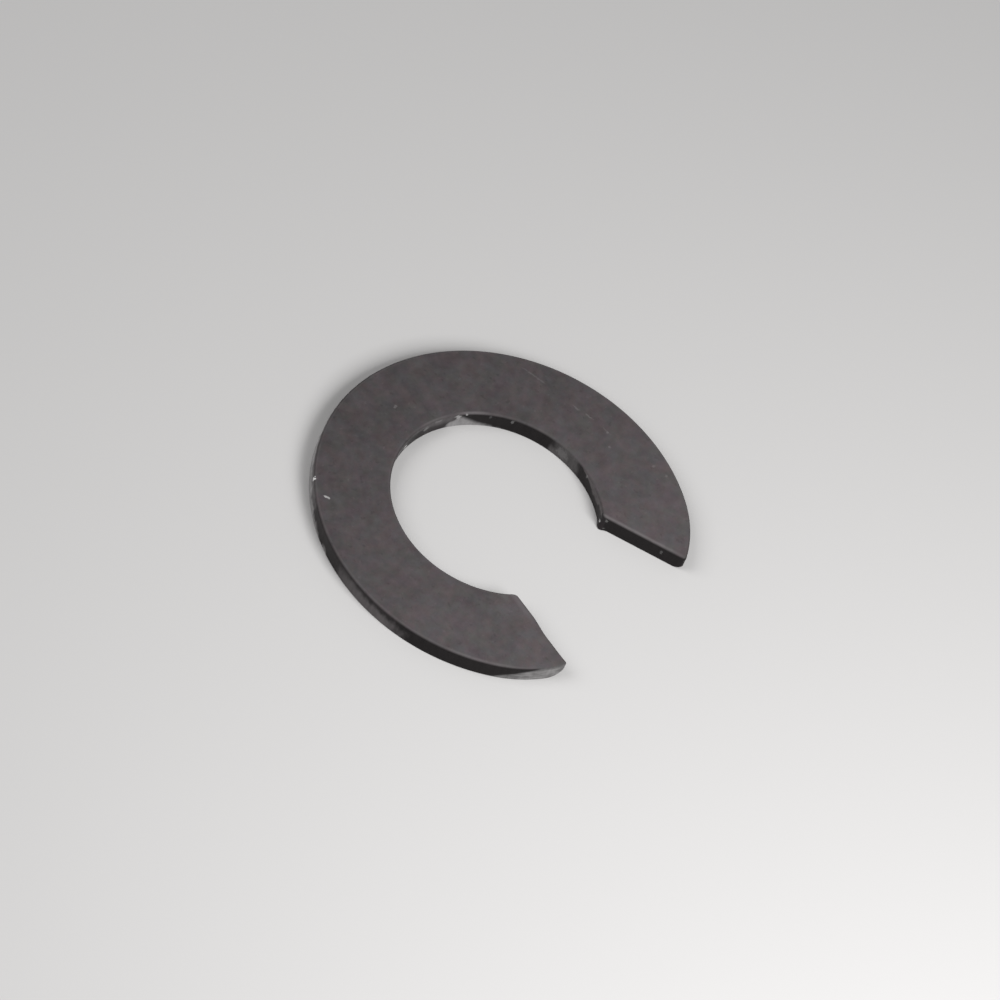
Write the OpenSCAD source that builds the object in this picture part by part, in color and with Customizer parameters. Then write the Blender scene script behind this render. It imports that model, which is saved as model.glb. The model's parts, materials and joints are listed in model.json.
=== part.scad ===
// Retaining ring: a flat C-shaped ring blanked from spring-steel strip, pushed sideways
// through its mouth onto the groove of a shaft. It lies flat on Z = 0, with the shaft's
// axis on Z and the mouth towards -Y.

/* [Ring] */
// Outside diameter
outer_d = 22.2; // [20:0.1:26]
// Free diameter of the bore that grips the shaft's groove
bore_d = 12.45; // [11:0.05:14]
// How far the bore sits behind the centre of the outside circle, away from the mouth
bore_setback = 0.49; // [0:0.01:1]
// Thickness of the strip
thickness = 1.07; // [0.9:0.01:1.6]

/* [Mouth] */
// Width of the mouth between the inner corners, before they are rounded
mouth_w = 8.4; // [6:0.1:10]
// Slope of each end face away from the centreline, in degrees
flare = 15.5; // [5:0.5:25]
// Rounding of the inner corners, seen from above
heel_r = 0.35; // [0.2:0.05:0.6]
// Rounding of the outer corners, seen from above
tip_r = 0.2; // [0.1:0.05:0.5]
// Radius of the outside edge where it draws in towards the outer corners
draw_r = 8; // [6:0.5:10]
// Where the outside edge begins to draw in, in degrees from the middle of the back
draw_from = 126; // [118:1:134]

/* [Edges] */
// Width of the broken edge round the top face
top_break = 0.12; // [0.04:0.01:0.2]
// Width of the broken edge round the underside
under_break = 0.06; // [0.03:0.01:0.2]
// Radius of the roll that lifts the underside at the two outer corners
tip_roll = 0.6; // [0.3:0.05:0.7]

/* [Hidden] */
$fn = 128;

// Blackened steel
steel_tone = [0.33, 0.31, 0.315];
// How far a cutting shape reaches past the steel that it trims
spare = 1;
// Chords in each rounded corner
arc_steps = 8;
// How far the draw's arc starts outside the outer circle, and where it stops, past the tip
draw_lead = 0.01;
draw_to = 176;

outer_r = outer_d / 2;
bore_r = bore_d / 2;
bore_c = [0, 0];
outer_c = [0, -bore_setback];
// Centre of the +X draw; its arc starts a hair outside the outer circle, so that it crosses it
draw_c = outer_c + (outer_r - draw_r + draw_lead) * [sin(draw_from), cos(draw_from)];

// The +X end face, seen from above: which way it runs outwards, and which way the steel lies
along = [sin(flare), -cos(flare)];
into = [cos(flare), sin(flare)];

function unit(v) = v / norm(v);

// Distance from a point, along the end face, to a circle round a centre
function reach(from, centre, r) =
    let (q = from - centre, b = q * along) sqrt(b * b - q * q + r * r) - b;

// Points round a centre, counter-clockwise from one angle to another
function arc(centre, r, from, to) =
    [for (i = [0:arc_steps]) let (a = from + (to - from) * i / arc_steps) centre + r * [cos(a), sin(a)]];

// A run of points with its first and last stretches drawn out by a length
function overrun(p, by) =
    let (n = len(p) - 1)
    [for (i = [0:n]) i == 0 ? p[0] + unit(p[0] - p[1]) * by : i == n ? p[n] + unit(p[n] - p[n - 1]) * by : p[i]];

function mirrored(p) = [for (i = [len(p) - 1:-1:0]) [-p[i].x, p[i].y]];

// Sharp corners of the +X end face, and the centres of the arcs that round them
heel = [mouth_w / 2, -sqrt(bore_r * bore_r - mouth_w * mouth_w / 4)];
tip = heel + along * reach(heel, draw_c, draw_r);
heel_line = heel + into * heel_r;
heel_c = heel_line + along * reach(heel_line, bore_c, bore_r + heel_r);
tip_line = heel + into * tip_r;
tip_c = tip_line + along * reach(tip_line, draw_c, draw_r - tip_r);

// Waste of one broken edge: the sharp edge is at the origin, the steel towards +X and +Y
module edge_waste(w) {
    polygon([[-spare, -spare], [w + spare, -spare], [-spare, w + spare]]);
}

// Waste of the top and bottom edges of a wall that stands at X = 0, the steel towards +X
module wall_waste() {
    translate([0, thickness]) mirror([0, 1]) edge_waste(top_break);
    edge_waste(under_break);
}

// Flat round blank with both of its rims broken
module blank() {
    rotate_extrude() difference() {
        square([outer_r, thickness]);
        translate([outer_r, 0]) mirror([1, 0]) wall_waste();
    }
}

// The bore, with both of its rims broken
module bore_cut() {
    rotate_extrude() {
        translate([0, -spare]) square([bore_r, thickness + 2 * spare]);
        translate([bore_r, 0]) wall_waste();
    }
}

// The mouth: the two end faces, each between a heel rounded into the bore and a tip rounded
// into the outside
module mouth_cut() {
    to_bore = bore_c - heel_c;
    to_outside = tip_c - draw_c;
    face_angle = 180 + flare;
    heel_arc = arc(heel_c, heel_r, atan2(to_bore.y, to_bore.x), face_angle);
    tip_arc = arc(tip_c, tip_r, face_angle, 360 + atan2(to_outside.y, to_outside.x));
    end_run = overrun(concat(heel_arc, tip_arc), tip_r);
    clear_of_rim = [[tip.x + spare, outer_c.y - outer_r - spare]];
    half = concat(end_run, clear_of_rim);
    translate([0, 0, -spare]) linear_extrude(thickness + 2 * spare) polygon(concat(half, mirrored(half)));
}

// Waste outside the +X draw, with both of its rims broken
module draw_waste() {
    rim = draw_r + spare;
    far = 2 * rim;
    intersection() {
        translate(draw_c) rotate_extrude() {
            translate([draw_r, -spare]) square([spare, thickness + 2 * spare]);
            translate([draw_r, 0]) mirror([1, 0]) wall_waste();
        }
        translate([draw_c.x, draw_c.y, -2 * spare]) linear_extrude(thickness + 4 * spare)
            polygon([[0, 0], far * [sin(draw_from), cos(draw_from)], far * [sin(draw_to), cos(draw_to)]]);
    }
}

// Broken edges of the +X end face
module end_waste() {
    run_in = heel_r + spare;
    run_out = norm(tip - heel) + spare;
    translate(heel) rotate([90, 0, flare]) translate([0, 0, -run_in])
        linear_extrude(run_in + run_out) wall_waste();
}

// Roll of the underside at the +X tip, square to the line that halves the corner
module roll_waste() {
    back = unit(tip_c - tip);
    roll_arc = overrun(arc([tip_roll, tip_roll], tip_roll, 180, 270), tip_roll);
    translate(tip_c - back * tip_r) rotate([90, 0, atan2(back.y, back.x)])
        linear_extrude(4 * tip_roll, center = true) polygon(concat(roll_arc, [[-spare, -spare]]));
}

// Flat ring with its bore and its two draws
module drawn_ring() {
    difference() {
        translate(outer_c) blank();
        bore_cut();
        for (side = [0, 1]) mirror([side, 0, 0]) draw_waste();
    }
}

// The same with its mouth open
module open_ring() {
    difference() {
        drawn_ring();
        mouth_cut();
    }
}

module retaining_ring() {
    color(steel_tone) difference() {
        open_ring();
        for (side = [0, 1]) mirror([side, 0, 0]) {
            end_waste();
            roll_waste();
        }
    }
}

retaining_ring();
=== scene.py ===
"""Blackened spring-steel retaining ring on a pale floor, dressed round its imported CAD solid.

The ring is one piece. A geometry node tree draws it from its sizes: the plan outline is made of
arcs and straight end faces, and the rounded edges are the same outline set in from itself.
"""

import json
import logging
import math
from dataclasses import dataclass, replace
from enum import Enum
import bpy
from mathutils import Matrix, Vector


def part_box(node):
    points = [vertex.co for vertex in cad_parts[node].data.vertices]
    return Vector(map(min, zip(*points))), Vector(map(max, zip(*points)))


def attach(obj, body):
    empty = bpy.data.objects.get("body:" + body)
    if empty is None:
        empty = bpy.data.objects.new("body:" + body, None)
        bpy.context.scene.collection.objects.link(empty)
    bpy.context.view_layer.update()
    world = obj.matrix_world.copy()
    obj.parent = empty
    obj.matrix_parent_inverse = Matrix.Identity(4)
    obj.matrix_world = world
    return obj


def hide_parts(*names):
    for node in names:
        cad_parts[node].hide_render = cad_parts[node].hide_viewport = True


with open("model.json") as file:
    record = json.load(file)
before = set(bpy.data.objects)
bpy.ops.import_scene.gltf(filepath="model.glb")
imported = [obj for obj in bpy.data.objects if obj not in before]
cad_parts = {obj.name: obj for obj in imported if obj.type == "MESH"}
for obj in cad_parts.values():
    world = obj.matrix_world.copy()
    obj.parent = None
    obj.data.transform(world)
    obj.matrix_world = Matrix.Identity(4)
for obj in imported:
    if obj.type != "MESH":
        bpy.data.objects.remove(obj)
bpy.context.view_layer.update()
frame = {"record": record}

from types import MappingProxyType
from typing import Any, Mapping, Sequence, Union

import bmesh
import bpy
from mathutils import Matrix, Vector

LOG = logging.getLogger("retaining_ring")

MM = 0.001
RING_NODE = "retaining_ring"
BORE_MOUNT = "groove_grip"
# Side of the square photograph, in pixels
PHOTO_SIDE = 1000
# How far a point's side value may lie from that of the wall it is on
SIDE_SLACK = 0.02
# No settings, or no inputs, of a node
NOTHING: Mapping[Any, Any] = MappingProxyType({})


class Zone(Enum):
    """Point attributes of the ring's mesh that tell its finish where it is."""

    WALL = "wall"
    DEPTH = "depth"
    SIDE = "side"


class Side(Enum):
    """Which wall of the ring, as the share of the way from the bore to the outside."""

    BORE = 0.0
    END = 0.5
    OUTSIDE = 1.0


class Field:
    """An output socket, wrapped so that sums of sockets read as Python."""

    def __init__(self, writer: "Writer", socket: bpy.types.NodeSocket) -> None:
        """Keeps the socket and the writer that adds nodes after it."""
        self.writer = writer
        self.socket = socket

    def __add__(self, other: "Value") -> "Field":
        """Sum."""
        return self.writer.math("ADD", self, other)

    def __radd__(self, other: "Value") -> "Field":
        """Sum, from the right."""
        return self.writer.math("ADD", other, self)

    def __sub__(self, other: "Value") -> "Field":
        """Difference."""
        return self.writer.math("SUBTRACT", self, other)

    def __rsub__(self, other: "Value") -> "Field":
        """Difference, from the right."""
        return self.writer.math("SUBTRACT", other, self)

    def __mul__(self, other: "Value") -> "Field":
        """Product."""
        return self.writer.math("MULTIPLY", self, other)

    def __rmul__(self, other: "Value") -> "Field":
        """Product, from the right."""
        return self.writer.math("MULTIPLY", other, self)

    def __truediv__(self, other: "Value") -> "Field":
        """Quotient."""
        return self.writer.math("DIVIDE", self, other)

    def __rtruediv__(self, other: "Value") -> "Field":
        """Quotient, from the right."""
        return self.writer.math("DIVIDE", other, self)

    def __neg__(self) -> "Field":
        """The value with its sign turned."""
        return self.writer.math("MULTIPLY", self, -1.0)

    def __pow__(self, other: "Value") -> "Field":
        """Power."""
        return self.writer.math("POWER", self, other)

    def sin(self) -> "Field":
        """Sine of an angle in radians."""
        return self.writer.math("SINE", self)

    def cos(self) -> "Field":
        """Cosine of an angle in radians."""
        return self.writer.math("COSINE", self)

    def sqrt(self) -> "Field":
        """Square root."""
        return self.writer.math("SQRT", self)

    def floor(self) -> "Field":
        """Whole number at or below."""
        return self.writer.math("FLOOR", self)

    def sign(self) -> "Field":
        """Minus one, nought or one."""
        return self.writer.math("SIGN", self)

    def size(self) -> "Field":
        """Value without its sign."""
        return self.writer.math("ABSOLUTE", self)

    def least(self, other: "Value") -> "Field":
        """The smaller of two."""
        return self.writer.math("MINIMUM", self, other)

    def most(self, other: "Value") -> "Field":
        """The larger of two."""
        return self.writer.math("MAXIMUM", self, other)

    def within(self, low: "Value", high: "Value") -> "Field":
        """Value held between two limits."""
        return self.most(low).least(high)

    def ramp(self, low: float, high: float) -> "Field":
        """Smooth step between two values.

        Args:
            low: Where the step is 0. It may lie above high.
            high: Where the step is 1.

        Returns:
            The step, from 0 to 1.
        """
        if low > high:
            return 1 - self.ramp(high, low)
        return self.writer.add(
            "ShaderNodeMapRange",
            {"interpolation_type": "SMOOTHSTEP"},
            {"Value": self, "From Min": low, "From Max": high},
        )


Colour = tuple[float, float, float]
Value = Union[Field, float]
Key = Union[str, int]
TreeInputs = Mapping[str, Field]


class Writer:
    """Adds nodes to one node tree and links them."""

    # Numbers of the Mix node's colour sockets, whose names its other sockets have too
    UNDER, OVER, MIXED = 6, 7, 2

    def __init__(self, tree: bpy.types.NodeTree) -> None:
        """Keeps the tree that the nodes go into."""
        self.tree = tree

    @classmethod
    def fresh(cls, owner: Union[bpy.types.Material, bpy.types.World]) -> "Writer":
        """Empties the node tree of a material or a world.

        Args:
            owner: The material or the world.

        Returns:
            The writer of its tree.
        """
        owner.use_nodes = True
        owner.node_tree.nodes.clear()
        return cls(owner.node_tree)

    def feed(self, socket: bpy.types.NodeSocket, value: Any) -> None:
        """Links a wrapped socket to an input, or sets the input's own value.

        Args:
            socket: The input.
            value: A wrapped socket, or a plain value of the input's kind.
        """
        if isinstance(value, Field):
            self.tree.links.new(value.socket, socket)
        else:
            socket.default_value = value

    def node(self, kind: str, settings: Mapping[str, Any], inputs: Mapping[Key, Any]) -> bpy.types.Node:
        """Adds one node of any type.

        Args:
            kind: The node's type.
            settings: Properties, set first.
            inputs: Values or wrapped sockets, by the input's name or number.

        Returns:
            The node.
        """
        node = self.tree.nodes.new(kind)
        for name, value in settings.items():
            setattr(node, name, value)
        for key, value in inputs.items():
            self.feed(node.inputs[key], value)
        return node

    def add(
        self,
        kind: str,
        settings: Mapping[str, Any] = NOTHING,
        inputs: Mapping[Key, Any] = NOTHING,
        output: Key = 0,
    ) -> Field:
        """Adds one node and wraps one of its outputs.

        Args:
            kind: The node's type.
            settings: Properties, set first.
            inputs: Values or wrapped sockets, by the input's name or number.
            output: Name or number of the output.

        Returns:
            The wrapped output.
        """
        return Field(self, self.node(kind, settings, inputs).outputs[output])

    def math(self, operation: str, *values: Value) -> Field:
        """One Math node."""
        return self.add("ShaderNodeMath", {"operation": operation}, dict(enumerate(values)))

    def combine(self, x: Value, y: Value, z: Value) -> Field:
        """A vector from three values."""
        return self.add("ShaderNodeCombineXYZ", {}, {0: x, 1: y, 2: z})

    def separate(self, vector: Field) -> tuple[Field, Field, Field]:
        """The three values of a vector."""
        node = self.node("ShaderNodeSeparateXYZ", {}, {0: vector})
        return tuple(Field(self, socket) for socket in node.outputs)

    def scaled(self, vector: Field, by: Union[float, Sequence[float]]) -> Field:
        """A vector times one number, or times one number for each axis."""
        factors = (by, by, by) if isinstance(by, (int, float)) else tuple(by)
        return self.add("ShaderNodeVectorMath", {"operation": "MULTIPLY"}, {0: vector, 1: factors})

    def distance(self, place: Field, point: Sequence[float]) -> Field:
        """Distance of a place from a fixed point."""
        inputs = {0: place, 1: tuple(point)}
        return self.add("ShaderNodeVectorMath", {"operation": "DISTANCE"}, inputs, "Value")

    def mix(self, factor: Value, under: Any, over: Any, blend: str = "MIX") -> Field:
        """A mix of two colours.

        Args:
            factor: Share of the upper colour.
            under: The lower colour.
            over: The upper colour.
            blend: How the upper colour goes onto the lower one.

        Returns:
            The mixed colour.
        """
        return self.add(
            "ShaderNodeMix",
            {"data_type": "RGBA", "blend_type": blend},
            {0: factor, self.UNDER: under, self.OVER: over},
            self.MIXED,
        )

    def dim(self, colour: Any, level: Field) -> Field:
        """A colour times one level."""
        return self.mix(1.0, colour, self.combine(level, level, level), "MULTIPLY")

    def noise(self, vector: Field, scale: float, detail: float = 2.0, roughness: float = 0.5) -> Field:
        """Cloudy noise.

        Args:
            vector: Where it is read.
            scale: How fine it is.
            detail: How many finer octaves it has.
            roughness: How strongly they show.

        Returns:
            The noise, from 0 to 1 and about 0.5.
        """
        return self.add(
            "ShaderNodeTexNoise",
            {"noise_dimensions": "3D"},
            {"Vector": vector, "Scale": scale, "Detail": detail, "Roughness": roughness},
            "Fac",
        )


def add_object(name: str, data: bpy.types.ID) -> bpy.types.Object:
    """Adds an object to the scene.

    Args:
        name: Its name.
        data: Its mesh, lamp or camera.

    Returns:
        The object.
    """
    holder = bpy.data.objects.new(name, data)
    bpy.context.scene.collection.objects.link(holder)
    return holder


@dataclass(frozen=True)
class RingSizes:
    """Sizes of the ring, in metres and radians.

    The mouth opens towards -Y, and the bore is round the Z axis. The draw is the tighter arc on which the
    outside runs in towards each tip. The rolls lift the underside of the -X (left) and +X (right) tips, the
    burr stands at the foot of the +X heel, and the swell is a bulge of the -X end face.
    """

    outer_r: float
    bore_r: float
    setback: float
    thickness: float
    mouth_w: float = 8.4 * MM
    flare: float = math.radians(15.5)
    heel_r: float = 0.35 * MM
    tip_r: float = 0.2 * MM
    draw_r: float = 8.0 * MM
    draw_from: float = math.radians(126)
    top_break: float = 0.13 * MM
    under_break: float = 0.07 * MM
    left_roll: float = 0.78 * MM
    right_roll: float = 0.36 * MM
    burr: float = 0.16 * MM
    burr_reach: float = 0.55 * MM
    swell: float = 0.14 * MM
    swell_run: float = 3.0 * MM

    @classmethod
    def from_frame(cls) -> "RingSizes":
        """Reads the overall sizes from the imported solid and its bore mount.

        Returns:
            The sizes, with the rest at their defaults.
        """
        low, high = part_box(RING_NODE)
        mounts = {mount["name"]: mount for mount in frame["record"]["mounts"]}
        outer_r = (high.x - low.x) / 2
        return cls(
            outer_r=outer_r,
            bore_r=mounts[BORE_MOUNT]["dims"]["r_mm"] * MM,
            setback=outer_r - high.y,
            thickness=high.z - low.z,
        )

    @property
    def outer_c(self) -> Vector:
        """Centre of the outside circle."""
        return Vector((0, -self.setback))

    @property
    def draw_c(self) -> Vector:
        """Centre of the +X draw, the tighter arc that takes the outside in towards the tip."""
        way = Vector((math.sin(self.draw_from), math.cos(self.draw_from)))
        return self.outer_c + way * (self.outer_r - self.draw_r)

    @property
    def along(self) -> Vector:
        """Which way the +X end face runs outwards."""
        return Vector((math.sin(self.flare), -math.cos(self.flare)))

    @property
    def into(self) -> Vector:
        """Which way the steel lies behind the +X end face."""
        return Vector((math.cos(self.flare), math.sin(self.flare)))

    @property
    def face_angle(self) -> float:
        """Angle of the +X end face's outward side, in radians."""
        return math.pi + self.flare

    @property
    def heel(self) -> Vector:
        """Sharp inner corner of the +X end face."""
        half = self.mouth_w / 2
        return Vector((half, -math.sqrt(self.bore_r**2 - half**2)))

    @property
    def heel_c(self) -> Vector:
        """Centre of the arc that rounds the heel."""
        return self._meet(self.heel + self.into * self.heel_r, Vector((0, 0)), self.bore_r + self.heel_r)

    @property
    def tip(self) -> Vector:
        """Sharp outer corner of the +X end face."""
        return self._meet(self.heel, self.draw_c, self.draw_r)

    @property
    def tip_c(self) -> Vector:
        """Centre of the arc that rounds the tip."""
        return self._meet(self.heel + self.into * self.tip_r, self.draw_c, self.draw_r - self.tip_r)

    def _meet(self, start: Vector, centre: Vector, radius: float) -> Vector:
        """Where a line along the end face meets a circle.

        Args:
            start: A point on the line.
            centre: The circle's centre.
            radius: The circle's radius.

        Returns:
            The outer of the two meeting points.
        """
        away = start - centre
        run = away.dot(self.along)
        return start + self.along * (math.sqrt(run * run - away.dot(away) + radius * radius) - run)

    def tree_inputs(self) -> dict[str, float]:
        """Named inputs of the ring's geometry tree.

        Returns:
            Each input's name and its value.
        """
        from_outside = self.tip_c - self.draw_c
        tip_back = (self.tip_c - self.tip).normalized()
        tip_end = self.tip_c - tip_back * self.tip_r
        return {
            "Outer Radius": self.outer_r,
            "Bore Radius": self.bore_r,
            "Draw Radius": self.draw_r,
            "Draw From": self.draw_from,
            "Setback": self.setback,
            "Thickness": self.thickness,
            "Heel X": self.heel.x,
            "Heel Y": self.heel.y,
            "Heel Radius": self.heel_r,
            "Heel Turn": math.atan2(self.heel_c.x, self.heel_c.y),
            "Heel From": math.atan2(-self.heel_c.y, -self.heel_c.x),
            "Tip Radius": self.tip_r,
            "Tip Turn": math.atan2(from_outside.x, from_outside.y),
            "Tip From": 2 * math.pi + math.atan2(from_outside.y, from_outside.x),
            "Face Angle": self.face_angle,
            "Top Break": self.top_break,
            "Under Break": self.under_break,
            "Left Roll": self.left_roll,
            "Right Roll": self.right_roll,
            "Tip End X": tip_end.x,
            "Tip End Y": tip_end.y,
            "Tip Back X": tip_back.x,
            "Tip Back Y": tip_back.y,
            "Burr": self.burr,
            "Burr Reach": self.burr_reach,
            "Swell": self.swell,
            "Swell Run": self.swell_run,
        }


@dataclass(frozen=True)
class Layer:
    """One layer of noise, with its scale per millimetre.

    stretch multiplies each axis first, weight is how strongly the layer counts where it is used, and edges
    are the limits of a smooth step that turns it into spots.
    """

    scale: float
    detail: float = 2.0
    roughness: float = 0.5
    stretch: tuple[float, float, float] = (1.0, 1.0, 1.0)
    weight: float = 1.0
    edges: tuple[float, float] = (0.36, 0.64)

    def share(self, pen: Writer, place: Field) -> Field:
        """The noise at a place in millimetres, from 0 to 1."""
        return pen.noise(pen.scaled(place, self.stretch), self.scale, self.detail, self.roughness)

    def swing(self, pen: Writer, place: Field) -> Field:
        """The noise at a place, about nought and times its weight."""
        return self.weight * (self.share(pen, place) - 0.5)

    def spots(self, pen: Writer, place: Field) -> Field:
        """The noise at a place, after its smooth step."""
        return self.share(pen, place).ramp(*self.edges)


@dataclass(frozen=True)
class Spot:
    """Where a shaded point is on the ring: millimetres, degrees and shares, as node outputs.

    The two noises are about nought: the coarse one for the borders of the painted reflections, and the
    fine one for those of the chips and painted highlights.
    """

    place: Field
    bearing: Field
    depth: Field
    wall: Field
    side: Field
    fray: Field
    fine_fray: Field

    def on(self, side: Side) -> Field:
        """1 on the wall of that side, 0 elsewhere."""
        return (self.side - side.value).size().ramp(SIDE_SLACK, 0.0) * self.wall

    def between(self, start: float, stop: float, fade: float) -> Field:
        """1 between two bearings, fading to 0 across each."""
        middle, half = (start + stop) / 2, abs(stop - start) / 2
        return (self.bearing - middle).size().ramp(half + fade / 2, half - fade / 2)

    def frayed(self, degrees: float, share: float) -> "Spot":
        """The same point with its bearing and depth pushed about by noise, for ragged borders.

        Args:
            degrees: How far the bearing is pushed.
            share: How far the depth is pushed.

        Returns:
            The pushed point.
        """
        bearing = self.bearing + degrees * self.fray
        return replace(self, bearing=bearing, depth=self.depth + share * self.fray)


@dataclass(frozen=True)
class PaintedWallReflection:
    """A painted reflection: a stretch of wall painted lighter, on one side of a line sloping across the
    wall.

    Bearings are in degrees from the middle of the back, positive towards +X, and fade is how many of them
    each end fades over. The line's two depths, at start and stop, are shares of the wall, from 0 at the top
    face to 1 at the underside. Left alone, the line lies above the wall, and the painted reflection takes
    in all of it. soft is half the width of the line's border. A bow other than 1 bends the line, above puts
    the painted reflection on its upper side, and streaks is how strongly long lines show in it.
    """

    side: Side
    start: float
    stop: float
    fade: float
    tone: Colour
    depths: tuple[float, float] = (-0.2, -0.2)
    soft: float = 0.10
    above: bool = False
    bow: float = 1.0
    streaks: float = 0.0

    def mask(self, spot: Spot) -> Field:
        """Share of the painted reflection at a point.

        Args:
            spot: The point.

        Returns:
            1 inside the painted reflection, 0 outside it.
        """
        within = spot.between(self.start, self.stop, self.fade)
        run = ((self.stop - spot.bearing) / (self.stop - self.start)).within(0, 1)
        first, last = self.depths
        line = last + (first - last) * run**self.bow
        past = (line - spot.depth) if self.above else (spot.depth - line)
        return within * past.ramp(-self.soft, self.soft) * spot.on(self.side)


@dataclass(frozen=True)
class Glint:
    """A stretch of rim with a painted highlight: the edge that it follows, its bearings and its width in
    mm.

    fade is how many degrees each end fades over, and strength is its share of the painted highlight's tone.
    """

    side: Side
    start: float
    stop: float
    fade: float
    width: float
    strength: float

    def window(self, spot: Spot) -> Field:
        """Share of the stretch at a bearing."""
        return spot.between(self.start, self.stop, self.fade) * self.strength


@dataclass(frozen=True)
class NickAndHighlight:
    """A small light mark, for chips through the black and painted highlights alike: its middle, its half
    sizes and its turn, in mm and degrees.

    strength is the share of the light steel colour in its core, core is the core's share of the half sizes,
    and ragged is how far noise breaks up the border.
    """

    at: tuple[float, float, float]
    reach: tuple[float, float, float]
    turn: float = 0.0
    strength: float = 1.0
    ragged: float = 2.2
    core: float = 0.5

    def mask(self, pen: Writer, spot: Spot) -> Field:
        """Share of the mark at a point.

        Args:
            pen: The material's writer.
            spot: The point.

        Returns:
            The strength in the mark's core, 0 outside it.
        """
        local = pen.add(
            "ShaderNodeMapping",
            {"vector_type": "TEXTURE"},
            {
                "Vector": spot.place,
                "Location": self.at,
                "Rotation": (0, 0, math.radians(self.turn)),
                "Scale": self.reach,
            },
        )
        gap = pen.distance(local, (0, 0, 0)) + self.ragged * spot.fine_fray
        return gap.ramp(1.0, self.core) * self.strength


@dataclass(frozen=True)
class OxideFace:
    """The flat faces: matte black oxide, mottled, with faint red, green, blue and tan clouds.

    tint swings the colour between green and red, and warmth between blue and tan. cloud, blotch and the
    grain make it lighter or darker, pits are dark spots and flecks light ones, and a painted shade darkens
    it by a set share for each millimetre towards +Y, away from the key lamp.
    """

    tone: Colour = (0.086, 0.0765, 0.0795)
    red: Colour = (0.0950, 0.0738, 0.0795)
    green: Colour = (0.0790, 0.0780, 0.0785)
    blue: Colour = (0.0855, 0.0765, 0.0860)
    tan: Colour = (0.0870, 0.0785, 0.0730)
    tint: Layer = Layer(0.9, 4.0, 0.72, weight=0.95)
    warmth: Layer = Layer(0.9, 4.0, 0.7, (-1.0, 1.2, 1.0), weight=0.36)
    cloud: Layer = Layer(0.5, 4.0, 0.6, weight=0.5)
    blotch: Layer = Layer(1.69, 4.0, 0.58, weight=0.64)
    pits: Layer = Layer(3.4, 1.0, stretch=(1.1, 0.9, 1.0), weight=0.13, edges=(0.33, 0.25))
    flecks: Layer = Layer(3.9, 1.0, stretch=(0.8, 1.2, 1.0), weight=0.15, edges=(0.68, 0.78))
    grain_share: float = 0.1
    # Painted shade: how much the faces darken for each millimetre towards +Y, away from the key lamp
    painted_shade_slope: float = 0.015

    def colour(self, pen: Writer, spot: Spot, grain: Field) -> Field:
        """Colour of the faces.

        Args:
            pen: The material's writer.
            spot: The point.
            grain: Fine noise about nought.

        Returns:
            The colour.
        """
        place = spot.place
        _, y, _ = pen.separate(place)
        tinted = pen.mix(self.tint.spots(pen, place), (*self.green, 1), (*self.red, 1))
        warmed = pen.mix(self.warmth.spots(pen, place), (*self.blue, 1), (*self.tan, 1))
        colour = pen.mix(self.tint.weight, (*self.tone, 1), tinted)
        colour = pen.mix(self.warmth.weight, colour, warmed)

        level = 1 + self.cloud.swing(pen, place) + self.blotch.swing(pen, place) + self.grain_share * grain
        level = level - self.pits.weight * self.pits.spots(pen, place)
        # Flecks lighten the faces, and painted shade darkens them towards +Y
        level = level + self.flecks.weight * self.flecks.spots(pen, place) - self.painted_shade_slope * y
        return pen.dim(colour, level)


@dataclass(frozen=True)
class PaintedRimHighlight:
    """The rims of the top face, with painted highlights in stretches.

    A stretch is strongest up to core millimetres from its edge, and patches make it uneven. heights, in
    millimetres, are where it comes in, so that the underside has none.
    """

    # Colour of the painted highlights
    tone: Colour = (0.185, 0.171, 0.175)
    patches: Layer = Layer(3.2, weight=0.8)
    core: float = 0.1
    heights: tuple[float, float] = (0.5, 0.9)
    # Stretches of painted highlight along the top edges of the ends, the outside and the bore
    glints: tuple[Glint, ...] = (
        Glint(Side.END, 134, 148, 3, 0.28, 0.60),
        Glint(Side.END, -142, -132, 4, 0.40, 0.30),
        Glint(Side.OUTSIDE, -133, -114, 10, 0.28, 0.20),
        Glint(Side.OUTSIDE, -180, 180, 0.1, 0.22, 0.12),
        Glint(Side.BORE, 32, 46, 8, 0.26, 0.55),
        Glint(Side.BORE, 8, 24, 6, 0.20, 0.22),
        Glint(Side.BORE, -180, 84, 20, 0.22, 0.12),
    )

    def share(self, pen: Writer, spot: Spot, sizes: RingSizes) -> Field:
        """Share of the painted highlight's tone: a band of the face along the ends, the outside and the
        bore.

        Args:
            pen: The material's writer.
            spot: The point.
            sizes: The ring's sizes.

        Returns:
            The share.
        """
        x, y, z = pen.separate(spot.place)
        flat = pen.combine(x, y, 0.0)
        heel, centre = sizes.heel / MM, sizes.outer_c / MM
        inside = {
            Side.BORE: pen.distance(flat, (0, 0, 0)) - sizes.bore_r / MM,
            Side.OUTSIDE: sizes.outer_r / MM - pen.distance(flat, (*centre, 0)),
            Side.END: (x.size() - heel.x) * sizes.into.x + (y - heel.y) * sizes.into.y,
        }
        total = 0.0
        for glint in self.glints:
            total = total + glint.window(spot) * inside[glint.side].ramp(glint.width, self.core)
        patchy = 1 + self.patches.swing(pen, spot.place)
        return (total * patchy * z.ramp(*self.heights)).within(0, 1)


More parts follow.
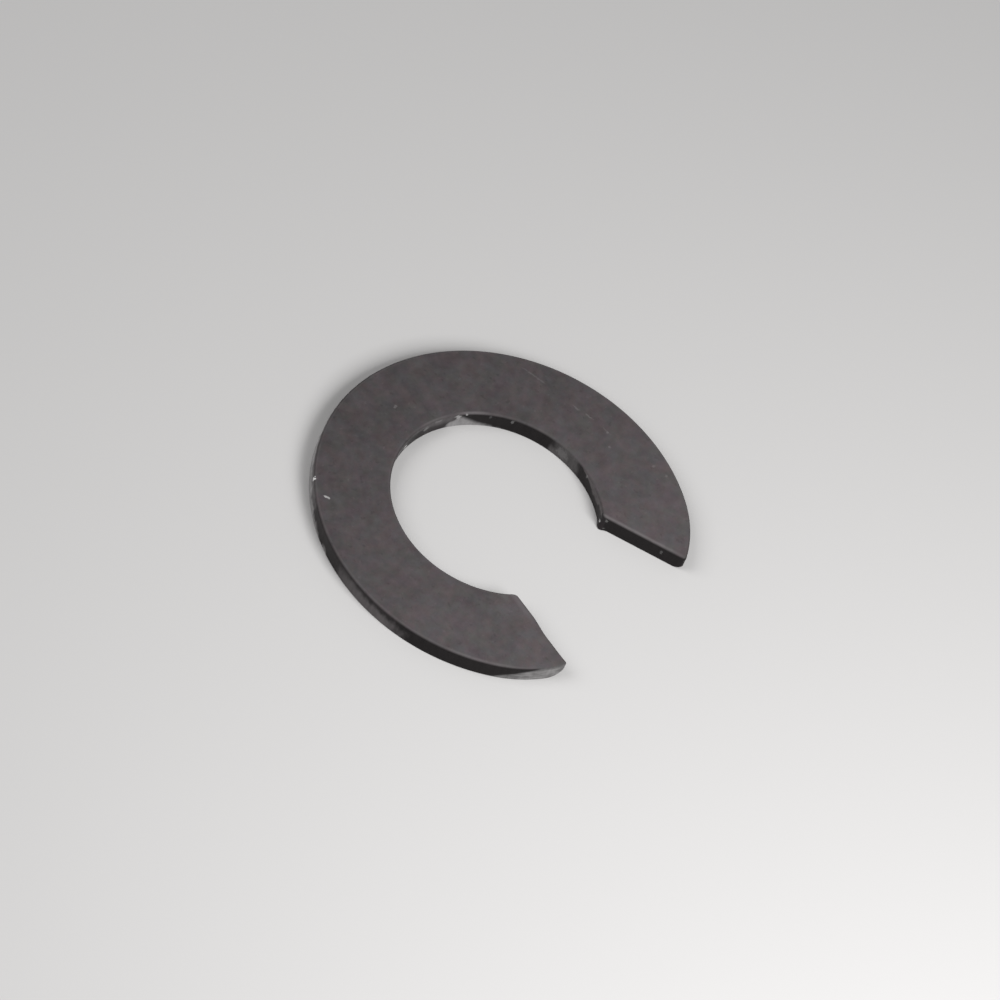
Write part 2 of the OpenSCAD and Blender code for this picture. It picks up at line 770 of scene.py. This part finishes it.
@dataclass(frozen=True)
class ShearedWall:
    """The walls that blanking left: black oxide, darker than the faces partly by painted shade, and with
    painted reflections in places.

    streak is unevenness that runs down the wall, and lines are long marks that run round it. Noise frays
    the borders of the painted reflections, by so many degrees and by such a share of the wall's depth.
    """

    # Black oxide of the walls, darker than the faces partly as painted shade
    tone: Colour = (0.0138, 0.0120, 0.0122)
    streak: Layer = Layer(4.0, 3.0, 0.6, (1.0, 1.0, 0.25), weight=0.8)
    lines: Layer = Layer(2.0, stretch=(0.4, 0.4, 2.0))
    fray_degrees: float = 10.0
    fray_depth: float = 0.55
    # Painted reflections of the lit floor and its shadow, each lighter than the wall's tone, by place
    painted_reflections: tuple[PaintedWallReflection, ...] = (
        # Outside of the -X half
        PaintedWallReflection(Side.OUTSIDE, -127, -150, 2, (0.18, 0.175, 0.175), (1.00, -0.35), bow=1.2, streaks=0.6),
        PaintedWallReflection(Side.OUTSIDE, -97, -58, 8, (0.026, 0.023, 0.0235)),
        PaintedWallReflection(Side.OUTSIDE, -98, -74, 8, (0.105, 0.096, 0.098), (0.45, 0.25), soft=0.25),
        PaintedWallReflection(Side.OUTSIDE, -62, -46, 6, (0.028, 0.0245, 0.025)),
        PaintedWallReflection(Side.OUTSIDE, -49, -22, 8, (0.115, 0.107, 0.109)),
        PaintedWallReflection(Side.OUTSIDE, -70, -12, 22, (0.30, 0.292, 0.294), (1.14, -0.25), soft=0.18),
        # Bore, at the back
        PaintedWallReflection(Side.BORE, -44, -4, 12, (0.050, 0.046, 0.0465)),
        PaintedWallReflection(Side.BORE, 11, 27, 6, (0.030, 0.026, 0.027)),
        PaintedWallReflection(Side.BORE, -4, 30, 4, (0.084, 0.077, 0.079), (0.12, 0.60), soft=0.18, above=True),
        PaintedWallReflection(Side.BORE, 21, 34, 3, (0.27, 0.262, 0.264), (1.00, 0.35), soft=0.18),
        PaintedWallReflection(Side.BORE, 31, 58, 3, (0.25, 0.243, 0.245), (0.10, 1.02), soft=0.20, bow=2.1),
        # Bore, towards the +X heel
        PaintedWallReflection(Side.BORE, 98, 121, 6, (0.020, 0.0175, 0.018)),
        PaintedWallReflection(Side.BORE, 118, 142, 4, (0.024, 0.0205, 0.0215)),
        PaintedWallReflection(Side.BORE, 85, 102, 6, (0.079, 0.074, 0.0745)),
        PaintedWallReflection(Side.BORE, 105, 120, 2, (0.100, 0.090, 0.092), (0.00, 0.50), soft=0.06, above=True),
        PaintedWallReflection(Side.BORE, 118, 136, 2, (0.100, 0.090, 0.092), (0.50, 0.02), soft=0.08, above=True, bow=0.45),
    )

    def colour(self, pen: Writer, spot: Spot) -> Field:
        """Colour of the walls.

        Args:
            pen: The material's writer.
            spot: The point.

        Returns:
            The colour.
        """
        level = 1 + self.streak.swing(pen, spot.place)
        lines = self.lines.spots(pen, spot.place) - 0.5
        colour = pen.dim((*self.tone, 1), level)
        frayed = spot.frayed(self.fray_degrees, self.fray_depth)
        # Each painted reflection lightens the wall inside its mask
        for wall_reflection in self.painted_reflections:
            tone = pen.dim((*wall_reflection.tone, 1), level * (1 + wall_reflection.streaks * lines))
            colour = pen.mix(wall_reflection.mask(frayed), colour, tone)
        return colour


@dataclass(frozen=True)
class BlackOxide:
    """The ring's finish: oxide on the faces, darker walls with painted shade and painted reflections,
    painted highlights along the rims, and light marks, both chips down to the steel and painted highlights.

    grain is fine noise in the faces' tone, in the roughness and in the bump, whose height is in
    millimetres. Two noises break up borders: the coarse one those of the painted reflections, the fine one
    those of the chips and painted highlights.
    """

    sizes: RingSizes
    face: OxideFace = OxideFace()
    rim: PaintedRimHighlight = PaintedRimHighlight()
    wall: ShearedWall = ShearedWall()
    # Light colour of the chips, bare steel, and of the painted highlights among them
    steel: Colour = (0.80, 0.79, 0.785)
    face_roughness: float = 0.55
    wall_roughness: float = 0.38
    gloss: float = 0.08
    grain: Layer = Layer(6.5, 3.0, 0.6)
    grain_roughness: float = 0.15
    bump_strength: float = 0.3
    bump_height: float = 0.02
    fray: Layer = Layer(2.0, stretch=(1.0, 1.0, 0.6))
    fine_fray: Layer = Layer(7.0, 2.0, 0.6)
    # Light marks: chips down to bare steel, and painted highlights where marked
    nicks_and_highlights: tuple[NickAndHighlight, ...] = (
        # Outside edge and face, -X half
        NickAndHighlight((-7.01, 8.15, 0.98), (0.17, 0.17, 0.17)),
        NickAndHighlight((-7.47, 6.76, 1.07), (0.23, 0.09, 0.05), turn=-73, strength=0.42),
        NickAndHighlight((-5.34, -4.63, 1.07), (1.00, 0.55, 0.20), turn=35, strength=0.014),
        # Bore
        NickAndHighlight((-0.50, 6.19, 0.32), (0.20, 0.20, 0.20), strength=0.6, ragged=1.0),
        # Painted highlights: a light line along the bore wall below its top edge
        NickAndHighlight((1.19, 6.11, 0.68), (0.22, 0.20, 0.20), strength=0.14),
        NickAndHighlight((2.03, 5.89, 0.90), (0.34, 0.26, 0.12), strength=0.07),
        NickAndHighlight((3.17, 5.35, 0.88), (0.20, 0.18, 0.18), strength=0.28),
        NickAndHighlight((3.59, 5.07, 1.00), (0.09, 0.09, 0.10), strength=0.25),
        NickAndHighlight((4.67, 4.11, 0.85), (0.10, 0.10, 0.20), strength=0.05),
        NickAndHighlight((5.42, 3.05, 0.85), (0.11, 0.11, 0.16), strength=0.12),
        NickAndHighlight((5.82, -2.19, 0.85), (0.10, 0.10, 0.16), strength=0.12),
        # Painted highlight, broad and soft, on the bore wall
        NickAndHighlight((6.21, -0.16, 0.50), (0.30, 0.50, 0.40), strength=0.06),
        # End face and heel, +X end
        NickAndHighlight((5.23, -8.29, 0.62), (0.09, 0.09, 0.20), strength=0.08),
        # Painted highlights on the heel's rounded corner
        NickAndHighlight((4.29, -4.87, 0.82), (0.10, 0.10, 0.14), strength=0.13),
        NickAndHighlight((4.25, -4.45, 0.45), (0.15, 0.15, 0.13), strength=0.5),
        NickAndHighlight((4.29, -4.87, 0.19), (0.10, 0.10, 0.10), strength=0.12),
        # Face and outside edge, +X half
        NickAndHighlight((0.69, 8.16, 1.07), (0.14, 0.10, 0.05), strength=0.07),
        NickAndHighlight((9.10, -1.08, 1.07), (0.10, 0.10, 0.05), strength=0.05),
        NickAndHighlight((8.36, -1.81, 1.07), (0.10, 0.10, 0.05), strength=0.05),
        NickAndHighlight((9.34, -4.33, 1.07), (0.12, 0.09, 0.05), strength=0.05),
        NickAndHighlight((9.38, -5.26, 1.07), (0.12, 0.09, 0.05), strength=0.05),
        NickAndHighlight((9.91, 4.52, 1.05), (0.10, 0.10, 0.10), strength=0.1),
        # Broken scratch along the face, +X half
        NickAndHighlight((8.87, 4.18, 1.07), (0.83, 0.07, 0.05), turn=-84.4, strength=0.04),
        NickAndHighlight((9.01, 1.20, 1.07), (0.30, 0.07, 0.05), turn=-91.1, strength=0.05),
        NickAndHighlight((9.13, 0.29, 1.07), (0.40, 0.07, 0.05), turn=-88.7, strength=0.05),
        NickAndHighlight((9.13, -0.99, 1.07), (0.34, 0.07, 0.05), turn=-94.3, strength=0.04),
    )

    def material(self) -> bpy.types.Material:
        """Builds the finish.

        Returns:
            The material.
        """
        material = bpy.data.materials.new("black_oxide_steel")
        pen = Writer.fresh(material)
        spot = self._spot(pen)

        grain = self.grain.swing(pen, spot.place)
        # Share of the painted highlights along the rims
        rim_highlight = self.rim.share(pen, spot, self.sizes)
        colour = self.face.colour(pen, spot, grain)
        colour = pen.mix(rim_highlight, colour, (*self.rim.tone, 1))
        # Walls: black oxide with painted shade and painted reflections
        colour = pen.mix(spot.wall, colour, self.wall.colour(pen, spot))
        # Light marks: chips down to bare steel, and painted highlights
        for speck in self.nicks_and_highlights:
            colour = pen.mix(speck.mask(pen, spot), colour, (*self.steel, 1))
        roughness = self.face_roughness + self.grain_roughness * grain
        roughness = roughness + spot.wall * (self.wall_roughness - self.face_roughness)

        bump = pen.add(
            "ShaderNodeBump",
            {},
            {"Strength": self.bump_strength, "Distance": self.bump_height * MM, "Height": grain},
        )
        shader = pen.add(
            "ShaderNodeBsdfPrincipled",
            {},
            {
                "Base Color": colour,
                "Roughness": roughness,
                "Specular IOR Level": self.gloss,
                "Normal": bump,
            },
        )
        pen.node("ShaderNodeOutputMaterial", {}, {"Surface": shader})
        return material

    def _spot(self, pen: Writer) -> Spot:
        """Reads where the shaded point is.

        Args:
            pen: The material's writer.

        Returns:
            The point.
        """
        place = pen.scaled(pen.add("ShaderNodeTexCoord", {}, {}, "Object"), 1 / MM)
        x, y, _ = pen.separate(place)
        zones = {}
        for zone in Zone:
            zones[zone] = pen.add("ShaderNodeAttribute", {"attribute_name": zone.value}, {}, "Fac")
        return Spot(
            place=place,
            bearing=pen.math("ARCTAN2", x, y) * math.degrees(1),
            depth=zones[Zone.DEPTH],
            wall=zones[Zone.WALL],
            side=zones[Zone.SIDE],
            fray=self.fray.swing(pen, place),
            fine_fray=self.fine_fray.swing(pen, place),
        )


@dataclass
class RingBody:
    """The ring's one piece, drawn by a geometry tree and dressed in black oxide.

    Stations are the steps along the ring, and the other steps go round a corner, across the strip, round
    a broken edge and down the wall. The swell rises and falls between shares of its run.
    """

    sizes: RingSizes
    finish: BlackOxide
    stations: int = 540
    corner_steps: int = 10
    across_steps: int = 28
    break_steps: int = 6
    wall_steps: int = 10
    weld: float = 0.001 * MM
    swell_rise: tuple[float, float] = (-0.10, 0.08)
    swell_fall: tuple[float, float] = (1.08, 0.55)

    def build(self) -> bpy.types.Object:
        """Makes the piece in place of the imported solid.

        Returns:
            The piece, riding on the only body.
        """
        ring = add_object("ring_body", bpy.data.meshes.new("ring_body_seed"))
        inputs = self.sizes.tree_inputs()
        tree = self._tree(inputs, self.finish.material())
        modifier = ring.modifiers.new("ring_body", "NODES")
        modifier.node_group = tree
        for item in tree.interface.items_tree:
            if item.in_out == "INPUT":
                modifier[item.identifier] = inputs[item.name]
        graph = bpy.context.evaluated_depsgraph_get()
        mesh = bpy.data.meshes.new_from_object(
            ring.evaluated_get(graph), preserve_all_data_layers=True, depsgraph=graph
        )
        mesh.name = "ring_body"
        ring.modifiers.remove(modifier)
        ring.data = mesh
        self._face_outwards(mesh)
        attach(ring, "root")
        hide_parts(RING_NODE)
        LOG.info("%s: %d points, %d faces", ring.name, len(mesh.vertices), len(mesh.polygons))
        return ring

    def _tree(self, inputs: Mapping[str, float], material: bpy.types.Material) -> bpy.types.NodeTree:
        """Writes the geometry tree: two faces and the rim between them, joined into one shell.

        Args:
            inputs: The tree's inputs, by name.
            material: The finish of every face.

        Returns:
            The tree.
        """
        tree = bpy.data.node_groups.new("retaining_ring", "GeometryNodeTree")
        tree.interface.new_socket(name="Ring", in_out="OUTPUT", socket_type="NodeSocketGeometry")
        for name in inputs:
            tree.interface.new_socket(name=name, in_out="INPUT", socket_type="NodeSocketFloat")
        pen = Writer(tree)
        group = pen.node("NodeGroupInput", {}, {})
        size = {name: Field(pen, group.outputs[name]) for name in inputs}
        index = pen.add("GeometryNodeInputIndex")

        top = self._face(pen, size, index, size["Top Break"], size["Thickness"])
        under = self._face(pen, size, index, size["Under Break"], 0.0)
        shell = pen.node("GeometryNodeJoinGeometry", {}, {})
        for part in (self._rim(pen, size, index), under, top):
            tree.links.new(part.socket, shell.inputs[0])
        joined = Field(pen, shell.outputs[0])
        welded = pen.add("GeometryNodeMergeByDistance", {}, {"Geometry": joined, "Distance": self.weld})
        rolled = self._roll(pen, size, self._swell(pen, size, welded))
        smooth = pen.add("GeometryNodeSetShadeSmooth", {}, {"Geometry": rolled})
        real = pen.add("GeometryNodeRealizeInstances", {}, {"Geometry": smooth})
        dressed = pen.add("GeometryNodeSetMaterial", {}, {"Geometry": real, "Material": material})
        pen.node("NodeGroupOutput", {}, {0: dressed})
        return tree

    def _plan(self, size: TreeInputs, station: Field, across: Field, inset: Value) -> tuple[Field, Field]:
        """A point of the plan, between the bore side and the outer side of a station.

        Args:
            size: The tree's inputs.
            station: Step along the ring, from the -X end face to the +X one.
            across: 0 on the bore side, 1 on the outer side.
            inset: How far the outline is set in from the true one.

        Returns:
            The point's X and Y.
        """
        half = self.stations / 2
        from_end = station.least(self.stations - station)
        corner = (1 - from_end / self.corner_steps).within(0, 1)
        body = ((from_end - self.corner_steps) / (half - self.corner_steps)).within(0, 1)

        bore = size["Bore Radius"] + inset
        bore_turn = size["Heel Turn"] * (1 - body)
        heel = size["Heel Radius"] - inset
        heel_from = size["Heel From"]
        heel_at = heel_from + corner * (size["Face Angle"] - heel_from)
        inner_x = bore * bore_turn.sin() + heel * (heel_at.cos() - heel_from.cos())
        inner_y = bore * bore_turn.cos() + heel * (heel_at.sin() - heel_from.sin())

        outer_turn = size["Tip Turn"] * (1 - body)
        held = outer_turn.least(size["Draw From"])
        lead = size["Outer Radius"] - size["Draw Radius"]
        outside = size["Draw Radius"] - inset
        tip = size["Tip Radius"] - inset
        tip_from = size["Tip From"]
        tip_at = tip_from + corner * (size["Face Angle"] - tip_from)
        outer_x = lead * held.sin() + outside * outer_turn.sin() + tip * (tip_at.cos() - tip_from.cos())
        outer_y = lead * held.cos() + outside * outer_turn.cos() + tip * (tip_at.sin() - tip_from.sin())
        outer_y = outer_y - size["Setback"]

        x = (inner_x + across * (outer_x - inner_x)) * (station - half).sign()
        y = inner_y + across * (outer_y - inner_y)
        return x, y

    def _sheet(
        self,
        pen: Writer,
        columns: int,
        rows: int,
        place: Field,
        zones: Mapping[Zone, Value],
    ) -> Field:
        """A grid of points put in place, with its zones stored on it.

        Args:
            pen: The tree's writer.
            columns: Points one way.
            rows: Points the other way.
            place: Where each point goes.
            zones: Value of each zone.

        Returns:
            The grid.
        """
        sheet = pen.add("GeometryNodeMeshGrid", {}, {"Vertices X": columns, "Vertices Y": rows})
        for zone in Zone:
            sheet = pen.add(
                "GeometryNodeStoreNamedAttribute",
                {"data_type": "FLOAT", "domain": "POINT"},
                {"Geometry": sheet, "Name": zone.value, "Value": zones.get(zone, 0.0)},
            )
        return pen.add("GeometryNodeSetPosition", {}, {"Geometry": sheet, "Position": place})

    def _face(self, pen: Writer, size: TreeInputs, index: Field, inset: Field, height: Value) -> Field:
        """One flat face, inside its broken edge.

        Args:
            pen: The tree's writer.
            size: The tree's inputs.
            index: Number of a point.
            inset: Width of the broken edge.
            height: Height of the face.

        Returns:
            The face.
        """
        rows = self.across_steps + 1
        station = (index / rows).floor()
        across = (index - station * rows) / self.across_steps
        x, y = self._plan(size, station, across, inset)
        return self._sheet(pen, self.stations + 1, rows, pen.combine(x, y, height), {})

    def _rim(self, pen: Writer, size: TreeInputs, index: Field) -> Field:
        """The wall all round the outline, with its two broken edges.

        Args:
            pen: The tree's writer.
            size: The tree's inputs.
            index: Number of a point.

        Returns:
            The rim, whose two ends meet.
        """
        ends = self.stations + self.across_steps
        rows = 2 * self.break_steps + self.wall_steps + 1
        step = (index / rows).floor()
        row = index - step * rows

        station = step.within(0, self.stations) - (step - ends).within(0, self.stations)
        out = ((step - self.stations) / self.across_steps).within(0, 1)
        back = ((step - ends - self.stations) / self.across_steps).within(0, 1)

        quarter = math.pi / 2
        top_turn = (row / self.break_steps).within(0, 1) * quarter
        down = ((row - self.break_steps) / self.wall_steps).within(0, 1)
        past_wall = row - self.break_steps - self.wall_steps
        under_turn = (past_wall / self.break_steps).within(0, 1) * quarter

        top, under, thickness = size["Top Break"], size["Under Break"], size["Thickness"]
        straight = thickness - top - under
        inset = top * (1 - top_turn.sin()) + under * (1 - under_turn.cos())
        height = thickness - top * (1 - top_turn.cos()) - straight * down - under * under_turn.sin()
        x, y = self._plan(size, station, out - back, inset)
        zones = {
            Zone.WALL: top_turn.sin() ** 2 - under_turn.sin() ** 2,
            Zone.DEPTH: 1 - height / thickness,
            Zone.SIDE: out - back,
        }
        return self._sheet(pen, 2 * ends + 1, rows, pen.combine(x, y, height), zones)

    def _swell(self, pen: Writer, size: TreeInputs, shell: Field) -> Field:
        """Pushes out the burr at the foot of the +X heel and the swelling of the -X end.

        Args:
            pen: The tree's writer.
            size: The tree's inputs.
            shell: The welded ring.

        Returns:
            The ring with its two ends no longer quite alike.
        """
        place = pen.add("GeometryNodeInputPosition")
        x, y, z = pen.separate(place)
        into_x, into_y = -size["Face Angle"].cos(), -size["Face Angle"].sin()
        past_x, past_y = x.size() - size["Heel X"], y - size["Heel Y"]
        behind = past_x * into_x + past_y * into_y
        along = past_x * into_y - past_y * into_x

        reach = size["Burr Reach"]
        gap = ((behind * behind + along * along + z * z).sqrt() / reach).least(1)
        burr = size["Burr"] * (1 - gap * gap) * (1 - gap * gap) * x.sign().most(0)

        share = along / size["Swell Run"]
        near = (1 - (behind / size["Swell Run"]).within(0, 1)) ** 2
        bulge = share.ramp(*self.swell_rise) * share.ramp(*self.swell_fall)
        swell = size["Swell"] * bulge * near * (-x.sign()).most(0)

        out = burr + swell
        shift = pen.combine(-out * into_x * x.sign(), -out * into_y, 0.0)
        return pen.add("GeometryNodeSetPosition", {}, {"Geometry": shell, "Offset": shift})

    def _roll(self, pen: Writer, size: TreeInputs, shell: Field) -> Field:
        """Lifts the underside at the two tips along a quarter round.

        Args:
            pen: The tree's writer.
            size: The tree's inputs.
            shell: The ring with its burr and its swelling.

        Returns:
            The ring with its tips rolled.
        """
        x, y, z = pen.separate(pen.add("GeometryNodeInputPosition"))
        thickness, left, right = size["Thickness"], size["Left Roll"], size["Right Roll"]
        roll = left + (right - left) * x.sign().most(0)
        past_x, past_y = x.size() - size["Tip End X"], y - size["Tip End Y"]
        behind_tip = past_x * size["Tip Back X"] + past_y * size["Tip Back Y"]
        short = roll - behind_tip.within(0, roll)
        lift = roll - (roll * roll - short * short).most(0).sqrt()
        place = pen.combine(x, y, lift + z * (thickness - lift) / thickness)
        return pen.add("GeometryNodeSetPosition", {}, {"Geometry": shell, "Position": place})

    def _face_outwards(self, mesh: bpy.types.Mesh) -> None:
        """Turns every face of the closed shell outwards.

        Args:
            mesh: The ring's mesh.
        """
        shell = bmesh.new()
        shell.from_mesh(mesh)
        bmesh.ops.recalc_face_normals(shell, faces=shell.faces)
        shell.to_mesh(mesh)
        shell.free()


@dataclass(frozen=True)
class Softbox:
    """A soft square lamp that faces the ring: its bearing and height in degrees, its reach and side in
    metres, and its power in watts.
    """

    name: str
    bearing: float
    height: float
    reach: float
    side: float
    power: float

    def place(self) -> bpy.types.Object:
        """Adds the lamp to the scene.

        Returns:
            The lamp.
        """
        lamp = bpy.data.lights.new(self.name, "AREA")
        lamp.shape = "SQUARE"
        lamp.size = self.side
        lamp.energy = self.power
        holder = add_object(self.name, lamp)
        turn, rise = math.radians(self.bearing), math.radians(self.height)
        away = Vector((math.cos(turn) * math.cos(rise), math.sin(turn) * math.cos(rise), math.sin(rise)))
        holder.location = away * self.reach
        holder.rotation_mode = "QUATERNION"
        holder.rotation_quaternion = (-away).to_track_quat("-Z", "Y")
        return holder


@dataclass(frozen=True)
class PhotoCamera:
    """A long-lens camera that sees the ring as the photograph does.

    Angles are in radians, and lens and sensor in millimetres. The pixels give the middle and the radius of
    the outside circle in the photograph. The view is clipped at two shares of the camera's distance.
    """

    azimuth: float = math.radians(-71.865)
    elevation: float = math.radians(49.597)
    roll: float = math.radians(25.714)
    centre_px: tuple[float, float] = (503.85, 509.15)
    outer_radius_px: float = 197.46
    lens: float = 700.0
    sensor: float = 36.0
    near_share: float = 0.01
    far_share: float = 10.0

    def place(self, sizes: RingSizes) -> bpy.types.Object:
        """Adds the camera to the scene and makes it the one in use.

        Args:
            sizes: The ring's sizes, whose outside circle the photograph's pixels are measured on.

        Returns:
            The camera.
        """
        cos_e, sin_e = math.cos(self.elevation), math.sin(self.elevation)
        back = Vector((math.sin(self.azimuth) * cos_e, -math.cos(self.azimuth) * cos_e, sin_e))
        level = Vector((math.cos(self.azimuth), math.sin(self.azimuth), 0))
        upright = back.cross(level)
        right = level * math.cos(self.roll) + upright * math.sin(self.roll)
        up = upright * math.cos(self.roll) - level * math.sin(self.roll)

        pixel = sizes.outer_r / self.outer_radius_px
        aside = (self.centre_px[0] - PHOTO_SIDE / 2) * pixel
        below = (self.centre_px[1] - PHOTO_SIDE / 2) * pixel
        rim_centre = Vector((*sizes.outer_c, sizes.thickness))
        aim = rim_centre - right * aside + up * below
        reach = self.lens / self.sensor * PHOTO_SIDE * pixel

        camera = bpy.data.cameras.new("photo_camera")
        camera.lens = self.lens
        camera.sensor_width = self.sensor
        camera.clip_start = reach * self.near_share
        camera.clip_end = reach * self.far_share
        holder = add_object("photo_camera", camera)
        turn = Matrix((right, up, back)).transposed().to_4x4()
        holder.matrix_world = Matrix.Translation(aim + back * reach) @ turn
        bpy.context.scene.camera = holder
        return holder


@dataclass(frozen=True)
class Studio:
    """Pale floor, soft light and the camera. The floor is measured in metres from its middle to a side."""

    floor_tone: Colour = (0.64, 0.632, 0.628)
    floor_half: float = 1.5
    sky: float = 0.21
    lamps: tuple[Softbox, ...] = (
        Softbox("key_softbox", -108.0, 45.0, 0.126, 0.07, 0.146),
        Softbox("fill_softbox", 130.0, 45.0, 0.60, 0.40, 1.35),
    )

    def build(self, sizes: RingSizes) -> None:
        """Lays the floor and sets the lamps, the sky and the camera.

        Args:
            sizes: The ring's sizes.
        """
        self._floor()
        for lamp in self.lamps:
            lamp.place()
        world = bpy.data.worlds.new("soft_sky")
        pen = Writer.fresh(world)
        sky = pen.add("ShaderNodeBackground", {}, {"Color": (1, 1, 1, 1), "Strength": self.sky})
        pen.node("ShaderNodeOutputWorld", {}, {"Surface": sky})
        scene = bpy.context.scene
        scene.world = world
        scene.view_settings.view_transform = "Standard"
        PhotoCamera().place(sizes)

    def _floor(self) -> None:
        """Adds the floor that the ring lies on."""
        half = self.floor_half
        corners = [(-half, -half, 0), (half, -half, 0), (half, half, 0), (-half, half, 0)]
        mesh = bpy.data.meshes.new("floor")
        mesh.from_pydata(corners, [], [(0, 1, 2, 3)])
        material = bpy.data.materials.new("pale_floor")
        pen = Writer.fresh(material)
        paint = pen.add("ShaderNodeBsdfDiffuse", {}, {"Color": (*self.floor_tone, 1)})
        pen.node("ShaderNodeOutputMaterial", {}, {"Surface": paint})
        mesh.materials.append(material)
        floor = add_object("floor", mesh)


def main() -> None:
    """Builds the ring and its studio, and reports each piece."""
    logging.basicConfig(level=logging.INFO, format="%(name)s: %(message)s")
    sizes = RingSizes.from_frame()
    ring = RingBody(sizes, BlackOxide(sizes)).build()
    LOG.info("%s stands for %s", ring.name, RING_NODE)
    Studio().build(sizes)
    LOG.info("studio: floor, lamps and camera")


if __name__ == "__main__":
    main()
